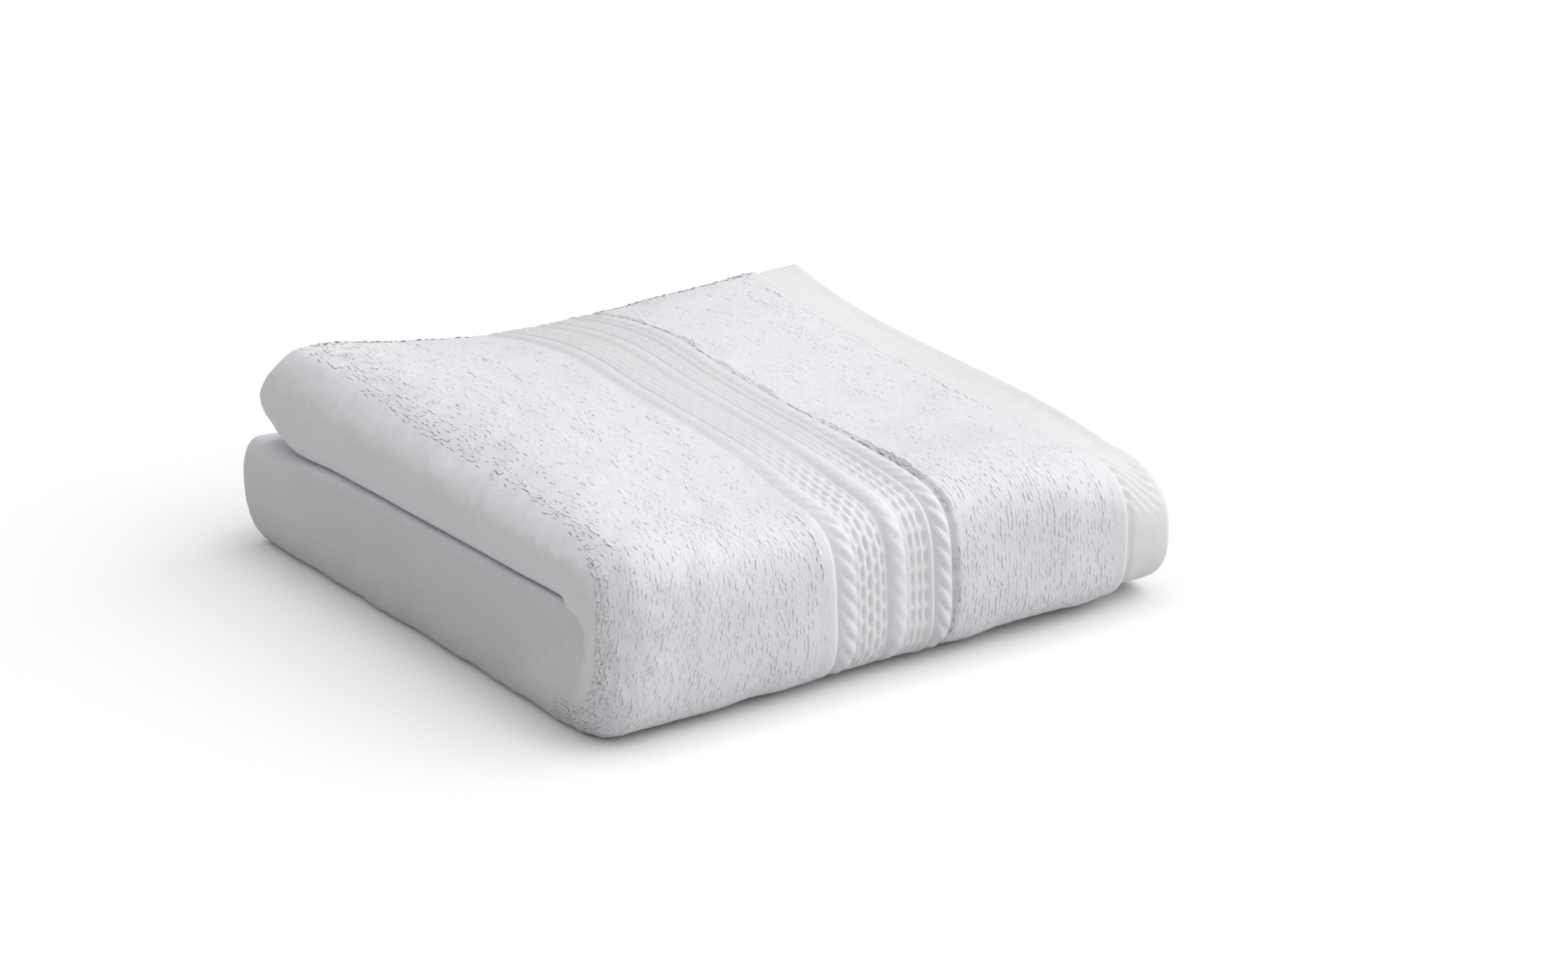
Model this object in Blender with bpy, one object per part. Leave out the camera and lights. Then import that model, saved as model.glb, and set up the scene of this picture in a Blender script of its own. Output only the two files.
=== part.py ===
# White terry washcloth, folded in half towards the left and in half again over a round front roll.
# X runs along the roll, Y goes away from it and Z is up. The origin is the middle of the underside.
# The cloth is one back-and-forth section of two layers, carried over the top, round the roll and
# back underneath, so four layers lie on each other, a little apart.
# Sizes are in millimetres until a point is placed.

from math import cos, pi, sin

import bmesh
import bpy

MM = 0.001
NAME = "washcloth"

# Folded size
WIDTH = 168.0            # lower fold on the left to the hem edge on the right
DEPTH = 160.0            # front of the roll to the upper back edge
ROLL_DEPTH = 25.0        # front of the roll to where the top begins
ROLL_HEIGHT = 44.0       # usual height of the roll, which spaces the points round it
ROLL_SQUARENESS = 3.7    # 2 is a round roll, more is a fuller one
CORE_SQUARENESS = 2.2    # the innermost turn of the roll
CORE_DEPTH = 3.0         # from the innermost turn to the middle of the roll
FOLD_BULGE = 7.0         # how far each left fold rounds over
FOLD_EYE = 13.0          # where the loop inside each left fold begins
UPPER_FOLD_SQUARENESS = 2.3
LOWER_FOLD_SQUARENESS = 2.4  # the weight above presses the lower fold fuller
UPPER_FOLD_SETBACK = 2.2     # the upper fold lies this far inside the lower one
FOLD_REACH = 34.0            # and that setback has gone by here
LOWER_SHARE = 0.54       # part of the height that the lower pair of layers takes at the left fold
LOWER_SHARE_REACH = 60.0  # the pairs are alike from here on
INNER_LAYER_REACH = 6.0  # the inner layers stick out this far past the outer ones at the back
INNER_HEM_SETBACK = 3.0  # and end this far short of the outer hem
BACK_EDGES = (
    # place across, how far the upper and the lower edges run past the usual depth
    (0.0, -2.0, 4.0),
    (60.0, 0.0, 1.0),
    (168.0, 0.5, 0.0),
)

# Cloth
TERRY = 9.0              # thickness with its loops
HEM = 4.5                # thickness of the turned hem
LEAST_GAP = 1.5          # between the two layers of a pair
MIDDLE_GAP = 3.0         # between the upper and the lower pair
EDGE_ROUNDING = 1.6      # how much each face draws in at the back edges
EDGE_CORE = 3.0          # which leaves at least this thickness there

# Height of the top above the surface, at four places across and four places back
ACROSS = (11.0, 70.0, 103.0, 163.0)
HEIGHTS = (
    # share of the way back, left fold, border, right terry, hem
    (0.00, 49.0, 44.5, 44.5, 34.5),
    (0.33, 46.5, 48.5, 45.0, 38.5),
    (0.66, 47.5, 50.0, 47.5, 39.0),
    (1.00, 51.0, 43.5, 42.5, 44.5),
)

# Woven border, from the left fold towards the hem
BORDER_START = 65.5
BORDER_RECESS = 2.0      # the border has no loops, so it lies lower on both faces
BORDER_LIP = 0.6         # the terry's loops stand back this far from the first and last grooves
LIP_DIP = 0.1
GROOVE_DEPTH = 0.6
RIB_RISE = 0.5
CABLE_RISE = 1.2
TWIST_RISE = 0.5
TWIST_PITCH = 5.2
TWIST_STEPS = 3          # points for each twist
CABLE_CRESTS = (
    # share of the way across the cable, how far the twist has moved on there, in pitches
    (0.3, 0.0),
    (0.7, 0.38),
)
BORDER_BANDS = (
    # kind, width, ribs
    ("groove", 1.6, 0),
    ("cable", 5.2, 0),
    ("ribs", 8.4, 4),
    ("groove", 1.2, 0),
    ("cable", 4.8, 0),
    ("ribs", 7.6, 4),
    ("cable", 4.8, 0),
    ("groove", 1.8, 0),
)
FADE_BELOW = 0.1         # the raised work fades out over the lowest tenth of the roll
BORDER_DRIFT = (
    # distance down the cloth, how far the border wanders right
    (0.0, 0.8),
    (35.0, 1.8),
    (70.0, -0.8),
    (120.0, 1.6),
    (150.0, -0.4),
    (190.0, 0.6),
    (225.0, -1.4),
)

# Hem, and the puckers of its stitching
HEM_START = 152.0
HEM_EDGE = 1.2           # the hem rounds over this far from its edge
SEAM_SHOULDER = 3.5      # the terry ends this far before the seam ridge
SEAM_GROOVE = 1.5        # and is lowest this far before it
SEAM_FOOT = 1.6          # the ridge has run down into the hem this far past it
SEAM_DIP = 1.2
RIDGE_DIP = 0.4
PUCKER_RISE = 0.9
PUCKER_PITCH = 17.0
PUCKER_LEAN = 0.9        # how far a pucker moves down the cloth for each millimetre towards the edge
PUCKER_LEAST = 0.25      # part of the full rise that the puckers keep at the back
PUCKER_GAIN = 0.45       # and what they gain from there to the roll, where they are strongest

# Points across the plain terry
LEFT_TERRY = (20.0, 34.0, 48.0, 60.0)
RIGHT_TERRY = (106.0, 116.0, 128.0, 140.0)
HIDDEN_SLOPE = 1.5       # half the width over which a hidden face steps down to the border or hem
FOLD_STEPS = 8
UNDERSIDE_STEPS = 4

FINE, PLAIN, HIDDEN = 0, 1, 2
AS_HEM = None            # the recess of a hem, whose thickness is set instead


def through_four(places, values, at):
    """The cubic through four values, held level past the first and the last."""
    at = min(max(at, places[0]), places[-1])
    total = 0.0
    for i, value in enumerate(values):
        weight = 1.0
        for j, other in enumerate(places):
            if j != i:
                weight *= (at - other) / (places[i] - other)
        total += weight * value
    return total


def read_table(rows, at, column=1):
    """A column of a table, read smoothly between its rows."""
    for here, there in zip(rows, rows[1:]):
        if at <= there[0]:
            share = max(0.0, (at - here[0]) / (there[0] - here[0]))
            return here[column] + (there[column] - here[column]) * share * share * (3 - 2 * share)
    return rows[-1][column]


def full_curve(angle, squareness):
    """The point of a squared circle of radius 1 that lies in this direction."""
    c, s = cos(angle), sin(angle)
    reach = (abs(c) ** squareness + abs(s) ** squareness) ** (-1 / squareness)
    return c * reach, s * reach


def top_height(x, y):
    share_back = (y - ROLL_DEPTH) / (DEPTH - ROLL_DEPTH)
    shares = [row[0] for row in HEIGHTS]
    down_the_columns = [
        through_four(shares, [row[1 + column] for row in HEIGHTS], share_back)
        for column in range(len(ACROSS))
    ]
    return through_four(ACROSS, down_the_columns, x)


def lower_share(x):
    return 0.5 + (LOWER_SHARE - 0.5) * max(0.0, 1 - x / LOWER_SHARE_REACH)


def stations():
    """Places down the cloth: the run, how far along it, and the distance from the upper back edge."""
    top_run = DEPTH - ROLL_DEPTH
    samples = 600
    angles = [pi * i / samples for i in range(samples + 1)]
    lengths = [0.0]
    for before, after in zip(angles, angles[1:]):
        c0, s0 = full_curve(before, ROLL_SQUARENESS)
        c1, s1 = full_curve(after, ROLL_SQUARENESS)
        step = (((c1 - c0) * ROLL_HEIGHT / 2) ** 2 + ((s1 - s0) * ROLL_DEPTH) ** 2) ** 0.5
        lengths.append(lengths[-1] + step)
    whole = top_run + lengths[-1]
    twists = 2 * round(whole / TWIST_PITCH / 2)
    count = twists * TWIST_STEPS
    found = []
    sample = 0
    for i in range(count + 1):
        distance = whole * i / count
        if distance <= top_run:
            found.append(("top", distance / top_run, distance))
            continue
        round_roll = distance - top_run
        while sample < samples and lengths[sample] < round_roll:
            sample += 1
        found.append(("roll", angles[sample], distance))
    for i in range(1, UNDERSIDE_STEPS + 1):
        found.append(("under", i / UNDERSIDE_STEPS, whole + top_run * i / UNDERSIDE_STEPS))
    return found


STATIONS = stations()
LAST = len(STATIONS) - 1
LAST_FINE = LAST - UNDERSIDE_STEPS


def stops(detail):
    """The stations that a line of this detail has points at."""
    every = {FINE: 1, PLAIN: TWIST_STEPS, HIDDEN: 2 * TWIST_STEPS}[detail]
    chosen = []
    for i, (run, _, _) in enumerate(STATIONS):
        step = min(every, TWIST_STEPS) if run == "roll" else every
        if i > LAST_FINE or i % step == 0:
            chosen.append(i)
    return chosen


def cable(lean):
    """How a cable stands above the border along one of its crests."""
    def raised(station):
        return CABLE_RISE + TWIST_RISE * cos(2 * pi * (station[2] / TWIST_PITCH - lean))
    return raised


def upperness(station):
    """1 in the upper pair of layers, 0 in the lower pair, and in between round the roll."""
    run, along, _ = station
    if run == "roll":
        return (1 + cos(along)) / 2
    return 1.0 if run == "top" else 0.0


def show(station):
    """The border's raised work stands full where it can be seen, and fades out underneath."""
    return min(1.0, upperness(station) / FADE_BELOW)


def pucker(x):
    """Diagonal ripples of the hem, strongest round the roll, as they stand at one place across."""
    def raised(station):
        run, along, distance = station
        strength = PUCKER_LEAST + PUCKER_GAIN * (along if run == "top" else 0.0)
        if run == "roll":
            strength = max(PUCKER_LEAST + PUCKER_GAIN * (1 - along), sin(along))
        return PUCKER_RISE * strength * cos(
            2 * pi * (distance - PUCKER_LEAN * (x - HEM_START)) / PUCKER_PITCH
        )
    return raised


def line(x, depth, detail):
    """One line of points down the cloth, from rules for its place across and its depth in a pair."""
    return {"x": x, "depth": depth, "detail": detail}


def straight(x):
    return lambda station: x


def drifting(x):
    return lambda station: x + read_table(BORDER_DRIFT, station[2])


def beside_fold(x):
    """Near the left fold, the upper pair of layers is set back from the lower one."""
    return lambda station: x + UPPER_FOLD_SETBACK * upperness(station) * max(0.0, 1 - x / FOLD_REACH)


def fold_squareness(station):
    upper = upperness(station)
    return UPPER_FOLD_SQUARENESS * upper + LOWER_FOLD_SQUARENESS * (1 - upper)


def thickness(span):
    """A layer is as thick as its terry, or less where the pair is pressed thin."""
    return min(TERRY, (span - LEAST_GAP) / 2)


def edge_inset(station, layer):
    """How far a face draws in at the cut edges at the back, to round them."""
    if station not in (STATIONS[0], STATIONS[-1]):
        return 0.0
    return max(0.0, min(EDGE_ROUNDING, (layer - EDGE_CORE) / 2))


def face_depth(face, recess, raised=None):
    """Depth of one of the four faces of a pair of layers; a recess draws it into its layer."""
    def depth(span, station):
        full = thickness(span)
        own = (full - HEM) / 2 if recess is AS_HEM else recess
        own += edge_inset(station, full - 2 * own)
        if raised is not None:
            own -= raised(station) * show(station)
        return (own, full - own, span - full + own, span - own)[face]
    return depth


def fold_outer_line(angle):
    def x(station):
        bulge = FOLD_BULGE * (1 - full_curve(angle, fold_squareness(station))[1])
        return beside_fold(bulge)(station)

    def depth(span, station):
        reach = span / 2 - edge_inset(station, TERRY)
        return span / 2 - reach * full_curve(angle, fold_squareness(station))[0]
    return line(x, depth, PLAIN)


def fold_inner_line(angle):
    def depth(span, station):
        gap = span - 2 * thickness(span)
        return span / 2 - (gap / 2 + edge_inset(station, TERRY)) * cos(angle)
    return line(beside_fold(FOLD_EYE - (FOLD_EYE - TERRY) * sin(angle)), depth, HIDDEN)


def nose_depth(top_layer):
    """The middle of a layer's own thickness, for the rounded end of a hem."""
    def depth(span, station):
        half = thickness(span) / 2
        return half if top_layer else span - half
    return depth


def border_lines():
    """The outer face across the border: cables with their twists, ribs, and the grooves between."""
    lines = []
    x = BORDER_START
    low = face_depth(0, BORDER_RECESS + GROOVE_DEPTH)
    valley = face_depth(0, BORDER_RECESS)
    crest = face_depth(0, BORDER_RECESS - RIB_RISE)
    for kind, width, ribs in BORDER_BANDS:
        if kind == "groove":
            lines.append(line(drifting(x + width / 2), low, PLAIN))
        elif kind == "cable":
            lines.append(line(drifting(x), low, PLAIN))
            for share, lean in CABLE_CRESTS:
                top = face_depth(0, BORDER_RECESS, cable(lean))
                lines.append(line(drifting(x + share * width), top, FINE))
            lines.append(line(drifting(x + width), low, PLAIN))
        else:
            pitch = width / ribs
            for rib in range(ribs):
                lines.append(line(drifting(x + (rib + 0.5) * pitch), crest, PLAIN))
                if rib < ribs - 1:
                    lines.append(line(drifting(x + (rib + 1) * pitch), valley, PLAIN))
        x += width
    return lines, x


def hem_lines():
    """The outer face of the hem: its seam ridge and the puckered band out to the edge."""
    middle = (HEM_START + WIDTH) / 2
    return [
        line(straight(HEM_START - SEAM_SHOULDER), face_depth(0, 0.0), PLAIN),
        line(straight(HEM_START - SEAM_GROOVE), face_depth(0, SEAM_DIP), PLAIN),
        line(straight(HEM_START), face_depth(0, RIDGE_DIP, pucker(HEM_START)), PLAIN),
        line(straight(HEM_START + SEAM_FOOT), face_depth(0, AS_HEM, pucker(HEM_START)), PLAIN),
        line(straight(middle), face_depth(0, AS_HEM, pucker(middle)), PLAIN),
        line(straight(WIDTH - HEM_EDGE), face_depth(0, AS_HEM, pucker(WIDTH)), PLAIN),
    ]


def section_lines():
    """Every line of the closed section, and how its two sides face each other.

    The outer side runs from the hem over the upper face, round the left fold and along the face in
    the middle of the stack. The inner side is what it encloses, in the same order. The last list
    gives, for each inner line, the outer line that it faces.
    """
    border, border_end = border_lines()
    upper = [line(beside_fold(x), face_depth(0, 0.0), PLAIN) for x in LEFT_TERRY]
    upper.append(line(drifting(BORDER_START - BORDER_LIP), face_depth(0, LIP_DIP), PLAIN))
    upper += border
    upper.append(line(drifting(border_end + BORDER_LIP), face_depth(0, LIP_DIP), PLAIN))
    upper += [line(straight(x), face_depth(0, 0.0), PLAIN) for x in RIGHT_TERRY]
    upper += hem_lines()
    upper.reverse()

    plain_recesses = (
        # place across, recess on a hidden face
        (LEFT_TERRY[0], 0.0),
        (LEFT_TERRY[2], 0.0),
        (BORDER_START - HIDDEN_SLOPE, 0.0),
        (BORDER_START + HIDDEN_SLOPE, BORDER_RECESS),
        (border_end - HIDDEN_SLOPE, BORDER_RECESS),
        (border_end + HIDDEN_SLOPE, 0.0),
        (RIGHT_TERRY[2], 0.0),
        (HEM_START - HIDDEN_SLOPE, 0.0),
        (HEM_START + HIDDEN_SLOPE, AS_HEM),
        (WIDTH - HEM_EDGE, AS_HEM),
    )

    def hidden_face(face):
        ends_short = INNER_HEM_SETBACK if face > 1 else 0.0
        return [
            line(
                beside_fold(x - (ends_short if recess is AS_HEM else 0.0)),
                face_depth(face, recess),
                HIDDEN,
            )
            for x, recess in plain_recesses
        ]

    angles = [pi * i / FOLD_STEPS for i in range(FOLD_STEPS + 1)]
    outer = upper + [fold_outer_line(angle) for angle in angles] + hidden_face(3)
    first_inner = hidden_face(1)[::-1]
    inner = first_inner + [fold_inner_line(angle) for angle in angles] + hidden_face(2)
    facing = [nearest(upper, across(one)) for one in first_inner]
    facing += range(len(upper), len(outer))
    return outer, inner, facing


def across(one):
    """Where a line lies across the cloth at its upper back end."""
    return one["x"](STATIONS[0])


def nearest(lines, x):
    return min(range(len(lines)), key=lambda i: abs(across(lines[i]) - x))


def place(one, station):
    """Where a line passes a station."""
    run, along, _ = station
    x = one["x"](station)
    front_span = ROLL_DEPTH - CORE_DEPTH
    front = one["depth"](front_span, station)
    inwards = max(0.0, front / front_span)
    back = DEPTH + INNER_LAYER_REACH * inwards + read_table(BACK_EDGES, x, 1 if run == "top" else 2)
    if run == "top":
        y = back + (ROLL_DEPTH - back) * along
    elif run == "under":
        y = ROLL_DEPTH + (back - ROLL_DEPTH) * along
    else:
        y = ROLL_DEPTH
    height = top_height(x, y)
    share = lower_share(x)
    above = height - one["depth"](height * (1 - share) - MIDDLE_GAP / 2, station)
    below = one["depth"](height * share - MIDDLE_GAP / 2, station)
    if run == "top":
        z = above
    elif run == "under":
        z = below
    else:
        squareness = ROLL_SQUARENESS - (ROLL_SQUARENESS - CORE_SQUARENESS) * inwards
        c, s = full_curve(along, squareness)
        y = ROLL_DEPTH - (ROLL_DEPTH - front) * s
        z = (above + below) / 2 + (above - below) / 2 * c
    return MM * x, MM * y, MM * z


def bridge(mesh, pair, row):
    """Faces between two neighbouring points and the row of points beside them."""
    first, second = pair
    if len(row) == 2:
        mesh.faces.new((first, second, row[1], row[0]))
        return
    half = (len(row) - 1) // 2
    for i, (here, there) in enumerate(zip(row, row[1:])):
        mesh.faces.new((first if i < half else second, there, here))
    mesh.faces.new((first, second, row[half]))


def stitch(mesh, one, other):
    """Faces down the cloth between two lines, one of which may have more points."""
    sparse, dense = (one, other) if len(one) <= len(other) else (other, one)
    kept = sorted(sparse)
    for here, there in zip(kept, kept[1:]):
        row = [dense[i] for i in sorted(dense) if here <= i <= there]
        bridge(mesh, (sparse[here], sparse[there]), row)


def add_line(mesh, one):
    return {i: mesh.verts.new(place(one, STATIONS[i])) for i in stops(one["detail"])}


def close_end(mesh, outer, inner, facing, upper_nose, lower_nose, station):
    """The cut edge of the two layers at one back end."""
    mesh.faces.new((upper_nose[station], outer[0][station], inner[0][station]))
    for i in range(len(inner) - 1):
        row = [outer[k][station] for k in range(facing[i], facing[i + 1] + 1)]
        if len(row) == 1:
            mesh.faces.new((inner[i][station], inner[i + 1][station], row[0]))
        else:
            bridge(mesh, (inner[i][station], inner[i + 1][station]), row)
    mesh.faces.new((lower_nose[station], outer[-1][station], inner[-1][station]))


def stand_at_origin(mesh):
    """The origin is the middle of the box round the cloth, at its lowest point."""
    for axis in range(3):
        places = [vert.co[axis] for vert in mesh.verts]
        origin = min(places) if axis == 2 else (min(places) + max(places)) / 2
        for vert in mesh.verts:
            vert.co[axis] -= origin


def build_cloth():
    outer_lines, inner_lines, facing = section_lines()
    mesh = bmesh.new()
    outer = [add_line(mesh, one) for one in outer_lines]
    inner = [add_line(mesh, one) for one in inner_lines]
    upper_nose = add_line(mesh, line(straight(WIDTH), nose_depth(True), PLAIN))
    lower_nose = add_line(mesh, line(straight(WIDTH - INNER_HEM_SETBACK), nose_depth(False), HIDDEN))
    ring = [upper_nose] + outer + [lower_nose] + inner[::-1]
    for one, other in zip(ring, ring[1:] + ring[:1]):
        stitch(mesh, one, other)
    for station in (0, LAST):
        close_end(mesh, outer, inner, facing, upper_nose, lower_nose, station)
    bmesh.ops.recalc_face_normals(mesh, faces=mesh.faces)
    stand_at_origin(mesh)
    data = bpy.data.meshes.new(NAME)
    mesh.to_mesh(data)
    mesh.free()
    data.shade_smooth()
    return bpy.data.objects.new(NAME, data)


def white_terry():
    material = bpy.data.materials.new("white_terry")
    material.use_nodes = True
    shader = material.node_tree.nodes["Principled BSDF"]
    shader.inputs["Base Color"].default_value = (0.86, 0.86, 0.87, 1.0)
    shader.inputs["Roughness"].default_value = 0.95
    shader.inputs["Metallic"].default_value = 0.0
    return material


def main():
    for old in list(bpy.data.objects):
        bpy.data.objects.remove(old, do_unlink=True)
    collection = bpy.data.collections.new(NAME)
    bpy.context.scene.collection.children.link(collection)
    cloth = build_cloth()
    cloth.data.materials.append(white_terry())
    collection.objects.link(cloth)


main()
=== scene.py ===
from math import cos, pi, radians, sin

import bpy
import numpy as np
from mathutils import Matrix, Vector


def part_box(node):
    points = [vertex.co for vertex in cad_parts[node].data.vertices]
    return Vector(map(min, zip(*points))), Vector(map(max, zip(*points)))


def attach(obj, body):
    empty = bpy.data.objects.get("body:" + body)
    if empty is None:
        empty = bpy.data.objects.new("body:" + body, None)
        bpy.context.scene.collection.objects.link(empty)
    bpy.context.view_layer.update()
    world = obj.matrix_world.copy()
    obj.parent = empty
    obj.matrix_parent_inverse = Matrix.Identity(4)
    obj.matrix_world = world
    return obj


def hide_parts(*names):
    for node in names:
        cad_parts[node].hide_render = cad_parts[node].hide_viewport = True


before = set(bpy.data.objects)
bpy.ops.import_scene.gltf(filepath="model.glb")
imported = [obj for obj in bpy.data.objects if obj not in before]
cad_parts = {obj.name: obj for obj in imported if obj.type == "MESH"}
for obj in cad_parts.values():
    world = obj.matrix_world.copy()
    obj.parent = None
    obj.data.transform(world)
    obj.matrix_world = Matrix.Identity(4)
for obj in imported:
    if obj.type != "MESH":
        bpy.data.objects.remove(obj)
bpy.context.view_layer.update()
print("frame loaded")

mm = 0.001

# The folded shape in millimetres: the solid's folds, with a rounder end and a higher top at the left
fold = {
    "width": 168.0,
    "depth": 160.0,
    "rollDepth": 25.0,
    "rollHeight": 44.0,
    "rollSquareness": 3.7,
    "hemSquareness": 2.6,
    "coreSquareness": 2.2,
    "coreDepth": 3.0,
    "bulge": 10.5,
    "upperBulge": 28.0,
    "lowerBulge": 6.0,
    "bulgeReach": 42.0,
    "eye": 13.0,
    "upperSquareness": 2.05,
    "lowerSquareness": 2.7,
    "upperSetback": 2.2,
    "setbackReach": 34.0,
    "girth": 48.0,
    "creaseReach": 60.0,
    "creaseHeights": (  # place from front to back, height of the crease between the two folds
        (0.0, 32.6),
        (23.0, 32.6),
        (50.0, 31.9),
        (100.0, 30.9),
        (121.0, 30.3),
        (160.0, 26.8),
    ),
    "shoulderDrop": 1.2,
    "shoulderReach": 32.0,
    "innerReach": 6.0,
    "innerHemSetback": 3.0,
    "backEdges": (  # place across, upper edge, lower edge
        (0.0, -2.0, 4.0),
        (60.0, 0.0, 1.0),
        (168.0, 0.5, 0.0),
    ),
    "across": (11.0, 70.0, 103.0, 163.0),
    "heights": (  # share of the way back, left fold, border, right terry, hem
        (0.00, 50.5, 44.5, 44.5, 34.5),
        (0.33, 52.3, 48.5, 45.0, 38.5),
        (0.66, 54.3, 50.0, 47.5, 39.0),
        (1.00, 56.3, 43.5, 42.5, 44.5),
    ),
    "terry": 9.0,
    "hem": 4.5,
    "leastGap": 1.5,
    "middleGap": 0.0,  # the pile fills the solid's own gap here
    "lip": 12.0,
    "backLip": 2.4,
    "backLipReach": 34.0,
    "lipAngles": (0.5, 0.7),  # shares of the half turn round the fold
    "plainAngles": (0.5, 0.75),
    "creaseAngles": (0.0, 1 / 3),
    "hemFrom": (140.0, 164.0),  # places across over which the roll takes the hem's squareness
    "edgeRounding": 1.8,
    "edgeReach": 2.5,
    "frontmost": -0.43,  # the solid's foremost point, before it was centred
}

border = {
    "start": 65.5,
    "recess": 1.7,
    "topRecess": 0.4,
    "easeFrom": 20.0,  # past this the recess eases
    "ease": 0.5,
    "edgeIn": (-1.0, 0.7),  # where the terry gives way to the border, and back past its end
    "edgeOut": (0.6, -0.4),
    "hiddenEdge": (-1.5, 1.5),
    "groove": 0.8,
    "ridge": (0.25, 0.35),
    "pitch": 5.2,
    "lean": 1.2,  # how far down a strand of a cable runs for each step across
    "cableRise": 1.1,
    "cableSink": 0.3,
    "strandDip": 0.8,
    "ribRise": 0.3,
    "slitDepth": 0.75,
    "slitWidth": 0.38,
    "slitLength": 1.8,
    "slitLean": 0.12,
    "crispFrom": (100.0, 148.0),  # distance down the cloth over which the relief gets crisp
    "crispUntil": (206.0, 180.0),
    "topCrisp": 0.28,  # share of the relief left away from the roll
    "topGroove": 0.15,
    "topCable": 0.6,
    "driftReach": (14.0, 1.0),  # the terry drifts along from this far beside the border
    "bands": (  # kind, width, columns of slits, stagger, strength
        ("groove", 1.4, 0, 0.0, 1.0),
        ("cable", 5.2, 0, 0.0, 1.0),
        ("ribs", 8.2, 4, 0.5, 1.0),
        ("groove", 1.2, 0, 0.0, 0.9),
        ("cable", 5.2, 0, 0.4, 0.4),
        ("ribs", 5.8, 3, 0.0, 0.9),
        ("ridge", 1.3, 0, 0.0, 1.0),
        ("groove", 1.0, 0, 0.0, 0.9),
        ("cable", 4.4, 0, 0.2, 1.2),
        ("groove", 1.2, 0, 0.0, 0.9),
    ),
    "drift": (  # distance down the cloth, shift to the right
        (0.0, 0.8),
        (35.0, 1.8),
        (70.0, -0.8),
        (120.0, 1.6),
        (150.0, -0.4),
        (190.0, 0.6),
        (225.0, -1.4),
    ),
}
borderEnd = border["start"] + sum(band[1] for band in border["bands"])

hem = {
    "start": 152.0,
    "edge": 1.6,
    "blend": (-4.0, -2.4),  # where the hem's section takes over, measured from its start
    "hiddenBlend": (-1.5, 1.5),
    "setbackFrom": (-9.0, 1.0),
    "seamSink": 0.3,
    "ridgeRise": 0.25,
    "ridgeWidth": 1.3,
    "groove": 0.7,
    "grooveAt": 2.3,
    "grooveWidth": 0.9,
    "bandFrom": (0.6, 2.0),
    "bandRise": 0.8,
    "reliefFrom": (0.4, 2.0),
    "reliefUntil": (1.0, 5.0),  # short of the outer edge
    "crispFrom": (120.0, 150.0),
    "topCrisp": 0.15,
    "puckerRise": 0.38,
    "puckerPitch": 5.0,
    "puckerLean": 1.5,
    "puckerWander": 0.2,
    "wanderSize": 11.0,
    "puckerAt": 155.0,
    "puckerReach": 11.0,
    "swellRise": 0.35,
    "swellSize": (14.0, 17.0),
    "swellFade": 0.1,
}

terry = {
    "frontPile": 0.42,  # height of the loops in each part
    "topPile": 0.07,
    "shoulderPile": 0.26,
    "leastPile": 0.03,
    "frontFrom": (124.0, 156.0),  # distance down the cloth over which the front's loops grow
    "frontUntil": (8.0, 30.0),  # how far before the roll's end they shrink again
    "frontRange": (128.0, 160.0),  # where the cloth turns from the top to the front
    "frontSooner": 12.0,  # they start this much sooner at the left
    "soonerReach": (40.0, 10.0),
    "frontWrap": 5.0,
    "shoulderFrom": (15.0, 60.0),
    "shoulderWidth": 13.0,
    "foldReach": (-15.0, 3.0),  # places from the bulge over which the loops fade round the fold
    "lipFrom": (-6.5, -3.0),  # places from the border's start over which they fade beside it
    "lipFade": 0.8,
    "hemFrom": (-4.5, -1.5),
    "hemFade": 0.75,
    "groundDepth": 0.1,
    "groundShare": 0.55,
    "wallFrom": (3.0, -5.0),
    "relief": (  # height, size, seed, only on the fold's wall
        (0.3, 9.0, 3, False),
        (0.06, 2.8, 5, False),
        (0.22, 2.6, 9, True),
    ),
    "flatFrom": (16.0, 2.0),  # before and past the roll's end, where the relief ends underneath
    "flatAcross": 6.0,
    "lipDepth": 0.25,
    "lipEdge": (-5.5, -2.2),
}


def smoothStep(low, high, at):
    share = np.clip((at - low) / (high - low), 0, 1)
    return share * share * (3 - 2 * share)


def readTable(rows, at, column=1):
    places = np.array([row[0] for row in rows])
    values = np.array([row[column] for row in rows])
    at = np.clip(at, places[0], places[-1])
    k = np.clip(np.searchsorted(places, at, side="right") - 1, 0, len(rows) - 2)
    share = (at - places[k]) / (places[k + 1] - places[k])
    share = share * share * (3 - 2 * share)
    return values[k] * (1 - share) + values[k + 1] * share


def throughFour(places, values, at):
    at = np.clip(at, places[0], places[-1])
    total = 0.0
    for i, value in enumerate(values):
        weight = 1.0
        for j, other in enumerate(places):
            if j != i:
                weight = weight * (at - other) / (places[i] - other)
        total = total + weight * value
    return total


def fullCurve(angle, squareness):
    c, s = np.cos(angle), np.sin(angle)
    reach = (np.abs(c) ** squareness + np.abs(s) ** squareness) ** (-1 / squareness)
    return c * reach, s * reach


def softNoise(u, v, seed):  # smooth values from -1 to 1, one bump to each unit
    size = 97
    lattice = np.random.default_rng(seed).uniform(-1, 1, (size, size))
    iu, iv = np.floor(u).astype(int), np.floor(v).astype(int)
    fu, fv = u - iu, v - iv
    fu, fv = fu * fu * (3 - 2 * fu), fv * fv * (3 - 2 * fv)

    def at(a, b):
        return lattice[(iu + a) % size, (iv + b) % size]

    return (at(0, 0) * (1 - fu) + at(1, 0) * fu) * (1 - fv) + (at(0, 1) * (1 - fu) + at(1, 1) * fu) * fv


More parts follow.
